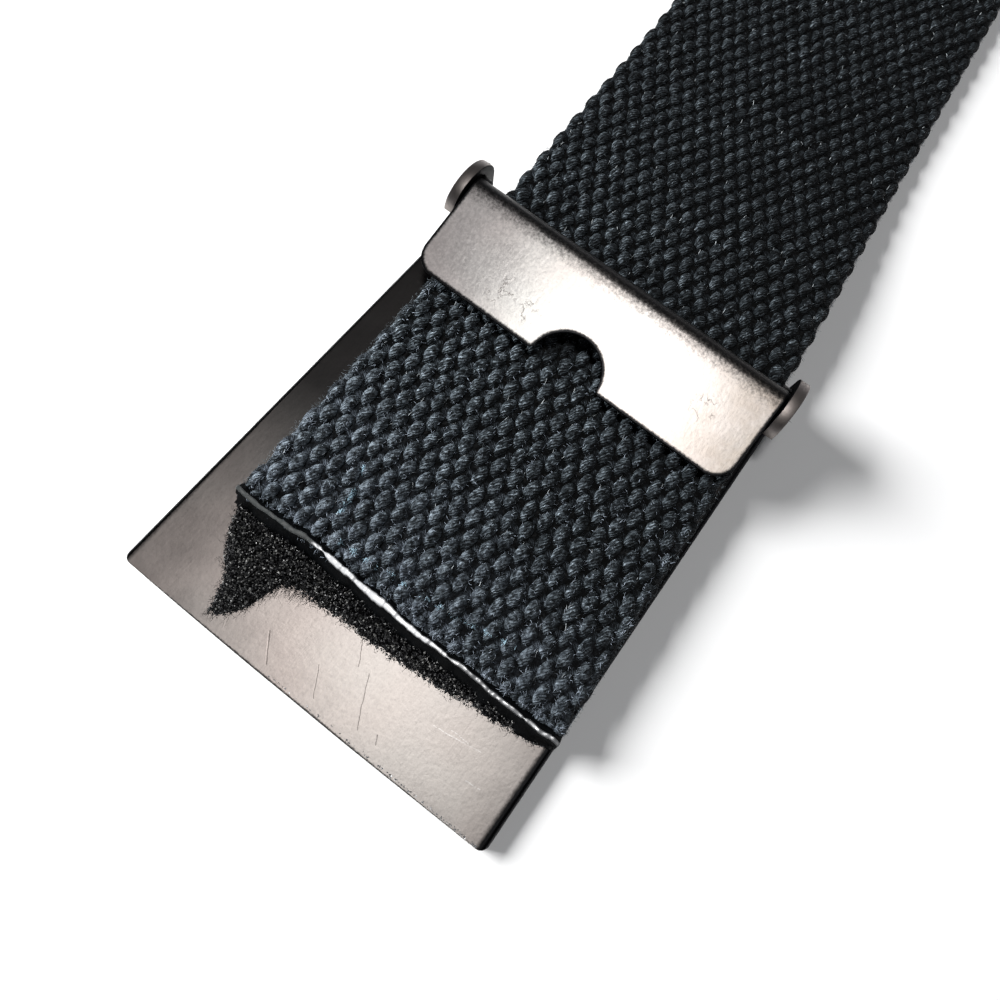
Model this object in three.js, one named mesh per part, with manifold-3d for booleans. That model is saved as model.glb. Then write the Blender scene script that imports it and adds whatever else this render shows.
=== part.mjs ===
// Canvas web belt, buckle end: a steel plate lying on its front face, the clamp lever
// hinged between its two ears, and the woven strap that the lever clamps.
// Millimetres. Origin: middle of the plate's front face, on the surface it lies on.
// +X runs along the belt from the plate's bare edge to the strap, +Z is up.
import * as THREE from "three";
import { mergeVertices } from "three/addons/utils/BufferGeometryUtils.js";
import Module from "manifold-3d";

// Strap: woven webbing with one heat-sealed cut end on the plate
const strapWidth = 38;
const strapThickness = 1.8;
const strapBeyondPlate = 84; // from the plate's far edge to the strap's own end
const cutEndInset = 11.5; // from the plate's bare edge to the sealed end
const cutEndDip = 0.6; // how far the middle of the sealed end bows out past its corners
const cutEndDipShift = 0.15; // where that bow is deepest, as a share of half the width
const sealLip = 0.14; // height of the melted lip along the sealed end
const sealLipWidth = 0.9;
const strapSkew = 0.023; // sideways run for each mm of length, on the plate
const strapSkewBeyond = 0.064; // the same past the plate
const strapBendWidth = 8; // length over which the one turns into the other
const strapOffset = -0.95; // sideways place of the strap's middle line at the hinge
const strapDropLength = 45; // length over which it comes down from the plate to the floor

// Buckle plate: one stamped sheet with an ear bent up at each side
const sheet = 1.2;
const plateLength = 55.8;
const plateCorner = 1;
const plateBow = 0.2; // how far the bare edge bows out in its middle
const edgeRound = 0.55; // round of the long edges and of the bend under each ear
const bendInside = 0.5; // inner radius where an ear meets the plate
const earGap = 1.2; // between the strap's edge and an ear, each side
const earLength = 7.6; // length of an ear's rounded head
const earCrown = 2.6; // height of that head's rounding
const earTop = 2.25; // from the hinge axis up to the head's top
const earRamp = 58; // slope of an ear's rising edge, in degrees
const pivotInset = 2.7; // from the plate's far edge back to the hinge axis

// Clamp lever: one bent sheet with a serrated jaw, a thumb notch and two trunnions
const leverSheet = 0.9;
const leverReach = 12.2; // from the hinge axis to the thumb edge
const leverSideGap = 0.2; // between lever and ear
const leverCorner = 2.5;
const leverBend = 2; // outside radius of the bend over the jaw
const jawDrop = 1.55; // from the hinge axis down to the jaw's tip
const jawFront = 0.5; // the jaw's outer face lies this far past the hinge axis
const bendDrop = 0.25; // the bend's centre lies this far below the hinge axis
const notchRadius = 4;
const notchFillet = 0.7;
const toothPitch = 1.6;
const toothDepth = 0.5;
const trunnionRadius = 1;
const trunnionSunk = 0.1; // its end stays this far inside the ear's outer face

// Clearances
const restGap = 0.15; // strap over the plate
const biteGap = 0.3; // jaw over the strap
const thumbGap = 0.12; // thumb edge over the strap
const trunnionClearance = 0.08;

// What follows from them
const plateWidth = strapWidth + 2 * (earGap + sheet);
const leverWidth = strapWidth + 2 * (earGap - leverSideGap);
const nearEdge = -plateLength / 2;
const farEdge = plateLength / 2;
const strapRest = sheet + restGap;
const strapTop = strapRest + strapThickness;
const jawTip = strapTop + biteGap;
const pivot = new THREE.Vector2(farEdge - pivotInset, jawTip + jawDrop);
const thumbEdge = pivot.x - leverReach;
const bendCentre = new THREE.Vector2(pivot.x + jawFront - leverBend, pivot.y - bendDrop);
const bendInner = leverBend - leverSheet;
const toothCount = Math.floor(leverWidth / toothPitch);

const ARC_STEPS = 14; // segments of each arc in an outline
const CIRCLE_STEPS = 40;
const EDGE_COLUMNS = 4; // columns in the round of each woven edge
const STRAP_STEPS = 60; // rings along the strap
const STRAP_CROWDING = 1.6; // over 1, rings lie closer together towards the sealed end
const STRAP_COLUMNS = 12; // flat columns across the strap
const BEYOND = 1; // a cutting tool reaches this far past what it cuts

const COLOURS = { plate: 0x9a938b, lever: 0xb9b5b0, web: 0x22252d };

const wasm = await Module();
wasm.setup();

function solidOf(geometry) {
  const bare = geometry.clone();
  bare.deleteAttribute("normal");
  bare.deleteAttribute("uv");
  const merged = mergeVertices(bare, 1e-4);
  const vertProperties = merged.attributes.position.array;
  const triVerts = new Uint32Array(merged.index.array);
  return new wasm.Manifold(new wasm.Mesh({ numProp: 3, vertProperties, triVerts }));
}

function geometryOf(solid) {
  const made = solid.getMesh();
  const geometry = new THREE.BufferGeometry();
  geometry.setAttribute("position", new THREE.BufferAttribute(made.vertProperties, 3));
  geometry.setIndex(new THREE.BufferAttribute(made.triVerts, 1));
  geometry.computeVertexNormals();
  return geometry;
}

function extrude(shape, depth) {
  const options = { depth, bevelEnabled: false, curveSegments: ARC_STEPS };
  return new THREE.ExtrudeGeometry(shape, options);
}

// A side view, drawn in X and Z, swept across the belt between two Y values
function acrossBelt(shape, fromY, toY) {
  return solidOf(extrude(shape, toY - fromY).rotateX(Math.PI / 2).translate(0, toY, 0));
}

// A section, drawn in Y and Z, swept along the belt between two X values
function alongBelt(shape, fromX, toX) {
  const [x, y, z] = [0, 1, 2].map((axis) => new THREE.Vector3().setComponent(axis, 1));
  const turn = new THREE.Matrix4().makeBasis(y, z, x);
  return solidOf(extrude(shape, toX - fromX).applyMatrix4(turn).translate(fromX, 0, 0));
}

// A plan, drawn in X and Y, swept upwards between two Z values
function upwards(shape, fromZ, toZ) {
  return solidOf(extrude(shape, toZ - fromZ).translate(0, 0, fromZ));
}

// A round bar along Y through the hinge axis
function hingeBar(radius, fromY, toY) {
  const bar = new THREE.CylinderGeometry(radius, radius, toY - fromY, CIRCLE_STEPS);
  return solidOf(bar.translate(pivot.x, (fromY + toY) / 2, pivot.y));
}

function slabSection() {
  const half = plateWidth / 2;
  const round = Math.min(edgeRound, 0.49 * sheet);
  const shape = new THREE.Shape();
  shape.absarc(half - round, round, round, -Math.PI / 2, 0, false);
  shape.absarc(half - round, sheet - round, round, 0, Math.PI / 2, false);
  shape.absarc(-half + round, sheet - round, round, Math.PI / 2, Math.PI, false);
  shape.absarc(-half + round, round, round, Math.PI, 1.5 * Math.PI, false);
  return shape;
}

function channelSection(top) {
  const outer = plateWidth / 2;
  const inner = outer - sheet;
  const round = Math.min(edgeRound, 0.49 * sheet);
  const inside = sheet + bendInside;
  const shape = new THREE.Shape();
  shape.absarc(outer - round, round, round, -Math.PI / 2, 0, false);
  shape.lineTo(outer, top);
  shape.lineTo(inner, top);
  shape.absarc(inner - bendInside, inside, bendInside, 0, -Math.PI / 2, true);
  shape.absarc(-inner + bendInside, inside, bendInside, -Math.PI / 2, -Math.PI, true);
  shape.lineTo(-inner, top);
  shape.lineTo(-outer, top);
  shape.absarc(-outer + round, round, round, Math.PI, 1.5 * Math.PI, false);
  return shape;
}

function platePlan() {
  const half = plateWidth / 2;
  const r = plateCorner;
  const shape = new THREE.Shape();
  shape.absarc(farEdge - r, half - r, r, 0, Math.PI / 2, false);
  shape.absarc(nearEdge + r, half - r, r, Math.PI / 2, Math.PI, false);
  shape.quadraticCurveTo(nearEdge - 2 * plateBow, 0, nearEdge, -half + r);
  shape.absarc(nearEdge + r, -half + r, r, Math.PI, 1.5 * Math.PI, false);
  shape.absarc(farEdge - r, -half + r, r, -Math.PI / 2, 0, false);
  return shape;
}

// An ear from the side: a ramp, a rounded head, and an upright end over the plate's far edge
function earProfile() {
  const half = earLength / 2;
  const shoulder = pivot.y + earTop - earCrown;
  const ramp = THREE.MathUtils.degToRad(earRamp);
  const shape = new THREE.Shape();
  shape.moveTo(farEdge - earLength - shoulder / Math.tan(ramp), 0);
  shape.absellipse(farEdge - half, shoulder, half, earCrown, Math.PI, 0, true, 0);
  shape.lineTo(farEdge, 0);
  return shape;
}

function bucklePlate() {
  const top = pivot.y + earTop + BEYOND;
  const half = plateWidth / 2;
  const slab = alongBelt(slabSection(), nearEdge - BEYOND, farEdge + BEYOND);
  const channel = alongBelt(channelSection(top), nearEdge - BEYOND, farEdge + BEYOND);
  const ears = channel.intersect(acrossBelt(earProfile(), -half - BEYOND, half + BEYOND));
  const bore = hingeBar(trunnionRadius + trunnionClearance, -half - BEYOND, half + BEYOND);
  return slab.add(ears).intersect(upwards(platePlan(), -BEYOND, top)).subtract(bore);
}

// The lever from the side: a flat that rises to the bend, and the jaw below the bend
function leverProfile() {
  const thumb = new THREE.Vector2(thumbEdge, strapTop + thumbGap);
  const span = bendCentre.clone().sub(thumb);
  const slope = Math.atan2(span.y, span.x) + Math.asin(bendInner / span.length());
  const normal = new THREE.Vector2(-Math.sin(slope), Math.cos(slope));
  const thumbTop = thumb.clone().addScaledVector(normal, leverSheet);
  const jawFace = pivot.x + jawFront;
  const touch = slope + Math.PI / 2;
  const shape = new THREE.Shape();
  shape.moveTo(thumb.x, thumb.y);
  shape.absarc(bendCentre.x, bendCentre.y, bendInner, touch, 0, true);
  shape.lineTo(jawFace - leverSheet, jawTip);
  shape.lineTo(jawFace, jawTip);
  shape.absarc(bendCentre.x, bendCentre.y, leverBend, 0, touch, false);
  shape.lineTo(thumbTop.x, thumbTop.y);
  return shape;
}

function leverPlan() {
  const half = leverWidth / 2;
  const r = leverCorner;
  const back = pivot.x + jawFront + BEYOND;
  const mouth = Math.sqrt(notchRadius ** 2 + 2 * notchRadius * notchFillet);
  const turn = Math.atan2(mouth, notchFillet);
  const shape = new THREE.Shape();
  shape.moveTo(back, -half);
  shape.lineTo(back, half);
  shape.absarc(thumbEdge + r, half - r, r, Math.PI / 2, Math.PI, false);
  shape.absarc(thumbEdge + notchFillet, mouth, notchFillet, -Math.PI, turn - Math.PI, false);
  shape.absarc(thumbEdge, 0, notchRadius, turn, -turn, true);
  shape.absarc(thumbEdge + notchFillet, -mouth, notchFillet, Math.PI - turn, Math.PI, false);
  shape.absarc(thumbEdge + r, -half + r, r, Math.PI, 1.5 * Math.PI, false);
  return shape;
}

// The V between two of the jaw's teeth, cut along the belt
function toothGap(y) {
  const shape = new THREE.Shape();
  shape.moveTo(y - toothPitch / 2, jawTip);
  shape.lineTo(y - toothPitch / 2, jawTip - BEYOND);
  shape.lineTo(y + toothPitch / 2, jawTip - BEYOND);
  shape.lineTo(y + toothPitch / 2, jawTip);
  shape.lineTo(y, jawTip + toothDepth);
  return alongBelt(shape, bendCentre.x, pivot.x + jawFront + BEYOND);
}

function clampLever() {
  const half = leverWidth / 2;
  const top = pivot.y + leverBend + BEYOND;
  let lever = acrossBelt(leverProfile(), -half, half).intersect(upwards(leverPlan(), 0, top));
  for (let i = 0; i <= toothCount; i++)
    lever = lever.subtract(toothGap((i - toothCount / 2) * toothPitch));
  const end = plateWidth / 2 - trunnionSunk;
  const root = half - leverSheet;
  return lever.add(hingeBar(trunnionRadius, root, end)).add(hingeBar(trunnionRadius, -end, -root));
}

// Where the strap's middle line runs: sideways place and underside height at a given X
function strapPath(x) {
  const past = x - farEdge;
  const hinge = (past + Math.hypot(past, strapBendWidth)) / 2;
  const y = strapOffset + strapSkew * past + (strapSkewBeyond - strapSkew) * hinge;
  const fall = THREE.MathUtils.smootherstep(past, 0, strapDropLength);
  return { y, rest: strapRest * (1 - fall) };
}

// Across the strap: places from -1 to 1, close together where the woven edges round off
function strapColumns() {
  const edge = strapThickness / strapWidth;
  const columns = [];
  for (let i = 0; i < EDGE_COLUMNS; i++)
    columns.push(-1 + edge * (1 - Math.cos(((i / EDGE_COLUMNS) * Math.PI) / 2)));
  for (let i = 0; i <= STRAP_COLUMNS; i++)
    columns.push((1 - edge) * ((2 * i) / STRAP_COLUMNS - 1));
  for (let i = EDGE_COLUMNS - 1; i >= 0; i--) columns.push(-columns[i]);
  return columns;
}

// Half the strap's thickness at a place across it
function halfThickness(across) {
  const edge = strapThickness / strapWidth;
  const into = Math.max(0, (Math.abs(across) - 1 + edge) / edge);
  return (strapThickness / 2) * Math.sqrt(Math.max(0, 1 - into ** 2));
}

// One ring of the strap's surface: over the top from side to side, and back underneath
function strapRing(along) {
  const start = nearEdge + cutEndInset;
  const x = start + (farEdge + strapBeyondPlate - start) * along;
  const { y, rest } = strapPath(x);
  const aside = new THREE.Vector2(y - strapPath(x + 1).y, 1).normalize();
  const lip = sealLip * Math.exp(-(((x - start) / sealLipWidth) ** 2));
  const point = (across, side) => {
    const dip = cutEndDip * (across - cutEndDipShift) ** 2 * (1 - along) ** 2;
    const w = (across * strapWidth) / 2;
    const half = halfThickness(across);
    const raise = side > 0 ? (lip * half) / (strapThickness / 2) : 0;
    const z = rest + strapThickness / 2 + side * half + raise;
    return [x + dip + aside.x * w, y + aside.y * w, z];
  };
  const columns = strapColumns();
  const under = columns.slice(1, -1).reverse();
  return [...columns.map((c) => point(c, 1)), ...under.map((c) => point(c, -1))];
}

function webStrap() {
  const steps = Array.from({ length: STRAP_STEPS + 1 }, (_, i) => i / STRAP_STEPS);
  const rings = steps.map((step) => strapRing(step ** STRAP_CROWDING));
  const size = rings[0].length;
  const last = STRAP_STEPS * size;
  const faces = [];
  const triangle = (a, b, c) => a !== b && b !== c && a !== c && faces.push(a, b, c);
  const quad = (a, b, c, d) => {
    triangle(a, b, c);
    triangle(a, c, d);
  };
  for (let base = 0; base < last; base += size)
    for (let j = 0; j < size; j++) {
      const k = (j + 1) % size;
      quad(base + j, base + size + j, base + size + k, base + k);
    }
  // Each end is closed by strips between its upper and lower points
  for (let j = 0; j < size / 2; j++) {
    const [above, next] = [j, j + 1];
    const [below, nextBelow] = [(size - j) % size, size - j - 1];
    quad(above, next, nextBelow, below);
    quad(last + above, last + below, last + nextBelow, last + next);
  }
  const geometry = new THREE.BufferGeometry();
  geometry.setAttribute("position", new THREE.Float32BufferAttribute(rings.flat(2), 3));
  geometry.setIndex(faces);
  return solidOf(geometry);
}

function namedMesh(name, solid, color, roughness, metalness) {
  const material = new THREE.MeshStandardMaterial({ color, roughness, metalness });
  const mesh = new THREE.Mesh(geometryOf(solid), material);
  mesh.name = name;
  return mesh;
}

const belt = new THREE.Group();
belt.add(namedMesh("buckle_plate", bucklePlate(), COLOURS.plate, 0.4, 1));
belt.add(namedMesh("clamp_lever", clampLever(), COLOURS.lever, 0.35, 1));
belt.add(namedMesh("web_strap", webStrap(), COLOURS.web, 0.95, 0));

export default belt;
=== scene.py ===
"""Looks of a canvas web belt: a steel plate buckle lying on its face, its clamp lever, and the
woven strap, with its yarns, its melted end and the lint round it. Lengths are in millimetres
in the helpers and turn into metres where a mesh is made."""

import math

import bmesh
import bpy
import numpy as np
from mathutils import Matrix, Vector


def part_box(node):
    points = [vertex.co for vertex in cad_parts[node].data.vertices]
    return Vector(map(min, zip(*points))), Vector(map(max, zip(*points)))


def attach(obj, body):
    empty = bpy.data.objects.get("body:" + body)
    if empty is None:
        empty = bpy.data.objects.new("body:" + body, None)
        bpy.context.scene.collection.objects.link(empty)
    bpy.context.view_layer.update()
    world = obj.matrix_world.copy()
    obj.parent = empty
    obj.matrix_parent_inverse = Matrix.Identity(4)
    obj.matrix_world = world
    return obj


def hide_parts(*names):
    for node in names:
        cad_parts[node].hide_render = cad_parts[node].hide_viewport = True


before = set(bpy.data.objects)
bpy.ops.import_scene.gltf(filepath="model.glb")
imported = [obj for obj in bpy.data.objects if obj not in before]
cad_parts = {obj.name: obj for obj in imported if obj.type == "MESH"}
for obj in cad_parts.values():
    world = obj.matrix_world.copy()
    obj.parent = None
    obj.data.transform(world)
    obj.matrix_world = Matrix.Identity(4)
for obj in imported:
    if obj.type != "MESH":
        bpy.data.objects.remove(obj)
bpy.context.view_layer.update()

MM = 0.001

# The belt's own measures, from the frame's solids
plate_low, plate_high = (np.array(corner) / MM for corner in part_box("buckle_plate"))
PLATE_LENGTH = 55.8
SHEET = 1.2
STRAP_WIDTH = 38.0
STRAP_THICKNESS = 1.8
REST_GAP = 0.15
FAR_EDGE = PLATE_LENGTH / 2
BARE_EDGE = -FAR_EDGE
CUT_X = BARE_EDGE + 11.5
END_X = FAR_EDGE + 84.0

# The strap's middle line, as the solids have it
STRAP_OFFSET = -0.95
STRAP_SKEW = 0.023
STRAP_SKEW_BEYOND = 0.064
STRAP_BEND_WIDTH = 8.0
STRAP_DROP_LENGTH = 45.0
CUT_SET_BACK = 0.3
CUT_BOW = 0.45
CUT_BOW_PLACE = 0.5
CUT_BOW_SPAN = 0.35

# The weave
WARP_COUNT = 38
WARP_PITCH = 1.0
PICK_PITCH = 1.938
WAVE = 0.43
FLOAT_HALF_WIDTH = 0.68
CROSSING_HALF_WIDTH = 0.42
FLOAT_HALF_THICKNESS = 0.42
CROSSING_HALF_THICKNESS = 0.34
WARP_SIDES = 10
WARP_STEPS_PER_PICK = 7
WEFT_SIDES = 8
PLIES = 3
STRANDS = 9
TWIST_LENGTH = 3.6
PLY_RELIEF = 0.1
WEFT_HALF_WIDTH = 0.42
WEFT_HALF_THICKNESS = 0.36

# How many loose fibres, grains and burrs of each kind
NEAR_FUZZ, FUZZ, GLINTS, EDGE_FUZZ, PALE_FIBRES = 12000, 6500, 1500, 1900, 700
LINT_THREADS, LINT_GRAINS, LINT_HAIRS, LOBE_HAIRS, BURRS = 5200, 6500, 150, 30, 150
OFF_FLOOR = 0.01
LINT_FLOOR = SHEET + 0.02

# The photo's view: angles in degrees, and the focal length in pixels of the 1000 pixel frame
VIEW_AZIMUTH, VIEW_ELEVATION, VIEW_ROLL = 199.13, 73.08, 18.72
VIEW_DISTANCE = 65.3
VIEW_TARGET = (26.94 - FAR_EDGE, -2.93, 0)
FOCAL_PIXELS, FRAME_PIXELS, SENSOR = 632, 1000, 36

# Each light's place, sides and power, in metres and watts, and whether reflections show it
LIGHT_TARGET = (0.02, 0, 0)
LIGHTS = {
    "overhead": ((0.04, 0.033, 0.55), (0.11, 0.11), 0.76, True),
    "side": ((-0.1, 0.52, 0.22), (0.36, 0.2), 9.9, False),
}
# The world's brightness by the sine of the elevation
SKY = [(0.0, 0.62), (0.16, 0.42), (0.36, 0.06), (0.6, 0.035)]
SKY_TINT = (0.9, 0.93, 1.0, 1)
FLOOR_SIDE = 3000.0
FLOOR_DROP = 0.02

# Steel: light and dark colour, roughness
PLATE_STEEL = (0.86, 0.81, 0.775), (0.66, 0.62, 0.595), 0.36
LEVER_STEEL = (0.95, 0.93, 0.9), (0.76, 0.75, 0.73), 0.34
# Yarns: the colour between the strokes of painted highlight, and the strokes' own painted highlight
# colour
YARNS = {
    "web_yarn": ((0.009, 0.0115, 0.0135), (0.26, 0.31, 0.35)),
    # The weft's darker colours are painted shade for the gaps between the floats, with painted
    # glints
    "web_weft_painted_shade": ((0.004, 0.005, 0.006), (0.08, 0.095, 0.11)),
    # The core's near-black colour is painted shade between the yarns
    "web_core_painted_shade": ((0.002, 0.0025, 0.003), (0.008, 0.009, 0.01)),
}
# Loose fibres: dark and light colour, roughness, specular, and for some a painted sparkle colour
# and an index
FIBRES = {
    "loose_fibre_near": ((0.03, 0.038, 0.05), (0.34, 0.39, 0.46), 0.6, 0.5),
    "loose_fibre": ((0.01, 0.013, 0.015), (0.2, 0.235, 0.26), 0.6, 0.5),
    # The glint threads' light colour is painted glints
    "painted_glint_fibre": ((0.03, 0.035, 0.038), (0.5, 0.54, 0.56), 0.35, 0.5),
    "chalky_fibre": ((0.16, 0.25, 0.31), (0.42, 0.6, 0.7), 0.6, 0.5),
    "black_lint": ((0.0015, 0.0015, 0.0018), (0.012, 0.012, 0.013), 0.35, 0.8),
    "lint_grain": ((0.001, 0.001, 0.0012), (0.012, 0.012, 0.013), 0.34, 1.0,
                   (0.22, 0.22, 0.21), 2.0),
    "matted_lint": ((0.001, 0.001, 0.0012), (0.004, 0.004, 0.005), 0.5, 0.4),
}


def strap_line(x):
    """Sideways place and height of the strap's underside at the lengthwise places x."""
    past = np.asarray(x, float) - FAR_EDGE
    hinge = (past + np.hypot(past, STRAP_BEND_WIDTH)) / 2
    y = STRAP_OFFSET + STRAP_SKEW * past + (STRAP_SKEW_BEYOND - STRAP_SKEW) * hinge
    t = np.clip(past / STRAP_DROP_LENGTH, 0, 1)
    fall = t**3 * (t * (6 * t - 15) + 10)
    return y, (SHEET + REST_GAP) * (1 - fall)


def on_strap(x, across, height):
    """The point at a lengthwise place, so far across, and so far above the strap's middle plane."""
    x, across, height = np.broadcast_arrays(
        *(np.asarray(values, float) for values in (x, across, height)))
    step = 0.5
    y, rest = strap_line(x)
    y2, rest2 = strap_line(x + step)
    turn, rise = (y2 - y) / step, (rest2 - rest) / step
    aside = np.hypot(1, turn)
    px = x - across * turn / aside - height * rise
    py = y + across / aside
    pz = rest + STRAP_THICKNESS / 2 + height
    return np.stack([px, py, pz], -1)


def cut_place(across):
    """Where the sealed end lies, lengthwise, so far across the strap."""
    share = np.asarray(across, float) / (STRAP_WIDTH / 2)
    bow = np.exp(-(((share - CUT_BOW_PLACE) / CUT_BOW_SPAN) ** 2))
    return CUT_X - CUT_SET_BACK + CUT_BOW * bow


def float_swing(x, index):
    """From 1 at the middle of a warp yarn's upper float to -1 at the middle of its lower one."""
    phase = math.pi * ((np.asarray(x, float) - CUT_X) / PICK_PITCH + index)
    return np.tanh(1.3 * np.cos(phase)) / math.tanh(1.3)


def web_top(x, across):
    """Height of the yarns' upper surface above the strap's middle plane."""
    middle = (WARP_COUNT - 1) / 2
    nearest = np.clip(np.rint(across / WARP_PITCH + middle), 0, WARP_COUNT - 1)
    top = np.full(np.shape(across), 0.0)
    for neighbour in (-1, 0, 1):
        index = np.clip(nearest + neighbour, 0, WARP_COUNT - 1)
        swing = float_swing(x, index)
        out = np.abs(swing) ** 1.5
        half = CROSSING_HALF_WIDTH + (FLOAT_HALF_WIDTH - CROSSING_HALF_WIDTH) * out
        offset = np.clip((across - (index - middle) * WARP_PITCH) / half, -1, 1)
        dome = CROSSING_HALF_THICKNESS * np.sqrt(1 - offset**2)
        top = np.maximum(top, np.where(np.abs(offset) < 1, WAVE * swing + dome, 0.0))
    return top


def wander(x, wavelength, rng, terms=5):
    """A smooth random curve of x, between about -1 and 1."""
    total = np.zeros_like(np.asarray(x, float))
    for _ in range(terms):
        length = wavelength * rng.uniform(0.6, 2.2)
        total += np.sin(2 * math.pi * x / length + rng.uniform(0, 2 * math.pi))
    return total / terms * 1.4


def ripple(x, rng, *waves):
    """The sum of wandering curves, each given by its height and its wavelength."""
    return sum(height * wander(x, wavelength, rng) for height, wavelength in waves)


# Chalky marks on the web: the places each one runs through, lengthwise and sideways
PALE_MARKS = [
    [(-7.1, 9.4), (-8.6, 8.7), (-10.2, 8.4), (-12.2, 8.0)],
    [(-14.4, 6.2), (-14.2, 2.1), (-14.0, -2.1), (-13.6, -6.3), (-13.0, -9.3), (-12.4, -14.8)],
]


def linked(name, data):
    """A new object with the data, in the scene."""
    made = bpy.data.objects.new(name, data)
    bpy.context.scene.collection.objects.link(made)
    return made


def mesh_object(name, points, faces, material, smooth=True, uv=None, attributes=None):
    """A mesh from points in millimetres and faces of point numbers."""
    mesh = bpy.data.meshes.new(name)
    faces = np.asarray(faces, np.int32)
    corners = faces.shape[1]
    mesh.vertices.add(len(points))
    mesh.vertices.foreach_set("co", (np.asarray(points) * MM).astype(np.float32).ravel())
    mesh.loops.add(faces.size)
    mesh.loops.foreach_set("vertex_index", faces.ravel())
    mesh.polygons.add(len(faces))
    mesh.polygons.foreach_set("loop_start", np.arange(0, faces.size, corners, dtype=np.int32))
    mesh.polygons.foreach_set("use_smooth", np.full(len(faces), smooth))
    if uv is not None:
        layer = mesh.uv_layers.new(name="yarn")
        layer.data.foreach_set("uv", np.asarray(uv, np.float32).ravel())
    mesh.update(calc_edges=True)
    mesh.validate()
    for key, values in (attributes or {}).items():
        layer = mesh.attributes.new(key, "FLOAT", "POINT")
        layer.data.foreach_set("value", np.asarray(values, np.float32))
    mesh.materials.append(material)
    return linked(name, mesh)


def ring_quads(rings, sides, turned=False):
    """Quads between neighbouring rings of points; turned, they face the other way."""
    i, k = np.meshgrid(np.arange(rings - 1), np.arange(sides), indexing="ij")
    k2 = (k + 1) % sides
    quad = [i * sides + k, i * sides + k2, (i + 1) * sides + k2, (i + 1) * sides + k]
    return np.stack(quad[:1] + quad[:0:-1] if turned else quad, -1).reshape(-1, 4)


def tube(line, aside, up, half_width, half_thickness, sides, relief=None, seed_value=0.0):
    """Points, faces, uv and a tone for each point of a tube of elliptical section."""
    n = len(line)
    angle = np.arange(sides) / sides * 2 * math.pi
    length = np.concatenate([[0], np.cumsum(np.linalg.norm(np.diff(line, axis=0), axis=1))])
    swell = relief(length[:, None], angle) if relief else np.ones((n, sides))
    ring_side = (half_width[:, None] * np.cos(angle) * swell)[..., None] * aside[:, None, :]
    ring_up = (half_thickness[:, None] * np.sin(angle) * swell)[..., None] * up[:, None, :]
    points = (line[:, None, :] + ring_side + ring_up).reshape(-1, 3)
    i, k = np.meshgrid(np.arange(n - 1), np.arange(sides), indexing="ij")
    u0, u1 = length[i], length[i + 1]
    v0, v1 = k / sides, (k + 1) / sides
    uv = np.stack([np.stack([u0, v0], -1), np.stack([u0, v1], -1),
                   np.stack([u1, v1], -1), np.stack([u1, v0], -1)], -2).reshape(-1, 2)
    return points, ring_quads(n, sides), uv, np.full(n * sides, seed_value)


def cap_faces(first, sides, flip):
    """Quads that close one end ring of an even number of sides."""
    rows = []
    for k in range(sides // 2 - 1):
        quad = [first + k, first + k + 1, first + sides - 2 - k, first + sides - 1 - k]
        rows.append(quad[::-1] if flip else quad)
    return rows


def joined_tubes(name, tubes, sides, material):
    """One mesh of many closed tubes."""
    points, faces, uvs, tones, base = [], [], [], [], 0
    for p, q, uv, tone in tubes:
        ends = cap_faces(0, sides, True) + cap_faces(len(p) - sides, sides, False)
        faces.append(np.concatenate([q, np.array(ends)]) + base)
        uvs.append(np.concatenate([uv, np.zeros((len(ends) * 4, 2))]))
        points.append(p)
        tones.append(tone)
        base += len(p)
    return mesh_object(name, np.concatenate(points), np.concatenate(faces), material,
                       uv=np.concatenate(uvs), attributes={"tone": np.concatenate(tones)})


# Shader building

def connect(node, inputs):
    """Gives a node's inputs each a value or another node's output."""
    for key, value in inputs.items():
        if isinstance(value, bpy.types.NodeSocket):
            node.id_data.links.new(value, node.inputs[key])
        else:
            node.inputs[key].default_value = value


def add(tree, kind, inputs=None, **settings):
    """A shader node with its settings and inputs; an input is a value or another's output."""
    node = tree.nodes.new(kind)
    for key, value in settings.items():
        setattr(node, key, value)
    connect(node, inputs or {})
    return node


def tree_of(*values):
    """The node tree of the node outputs among the values."""
    return next(value.id_data for value in values if isinstance(value, bpy.types.NodeSocket))


def operation(kind):
    """A function that adds a math node of the kind and gives its result."""
    def apply(*values, clamp=False):
        return add(tree_of(*values), "ShaderNodeMath", dict(enumerate(values)), operation=kind,
                   use_clamp=clamp).outputs[0]

    return apply


plus, minus, times, divided = map(operation, ("ADD", "SUBTRACT", "MULTIPLY", "DIVIDE"))
most, least, absolute, power = map(operation, ("MAXIMUM", "MINIMUM", "ABSOLUTE", "POWER"))
sine, floored, root, scaled = map(operation, ("SINE", "FLOOR", "SQRT", "MULTIPLY_ADD"))


def vector_math(kind, *values):
    """The vector that a vector node gives, and the number."""
    node = add(tree_of(*values), "ShaderNodeVectorMath", dict(enumerate(values)),
               operation=kind)
    return node.outputs[0], node.outputs[1]


def split(vector):
    """A vector's three numbers."""
    return add(tree_of(vector), "ShaderNodeSeparateXYZ", {0: vector}).outputs


def ramp(factor, stops):
    """A colour ramp; stops are (place, colour or grey)."""
    node = add(tree_of(factor), "ShaderNodeValToRGB", {"Fac": factor})
    elements = node.color_ramp.elements
    while len(elements) < len(stops):
        elements.new(0.5)
    for element, (place, colour) in zip(elements, stops):
        element.position = place
        grey = isinstance(colour, (int, float))
        element.color = (colour, colour, colour, 1) if grey else (*colour, 1)
    return node.outputs["Color"]


def mix(factor, a, b, blend="MIX"):
    """Colour a, or where the factor is 1, colour b or its blend with a."""
    a, b = ((*value, 1) if isinstance(value, tuple) else value for value in (a, b))
    return add(tree_of(factor, a, b), "ShaderNodeMix", {0: factor, 6: a, 7: b},
               data_type="RGBA", blend_type=blend, clamp_result=False).outputs[2]


def tinted(colour, by, share=1.0):
    return mix(share, colour, by, "MULTIPLY")


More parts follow.
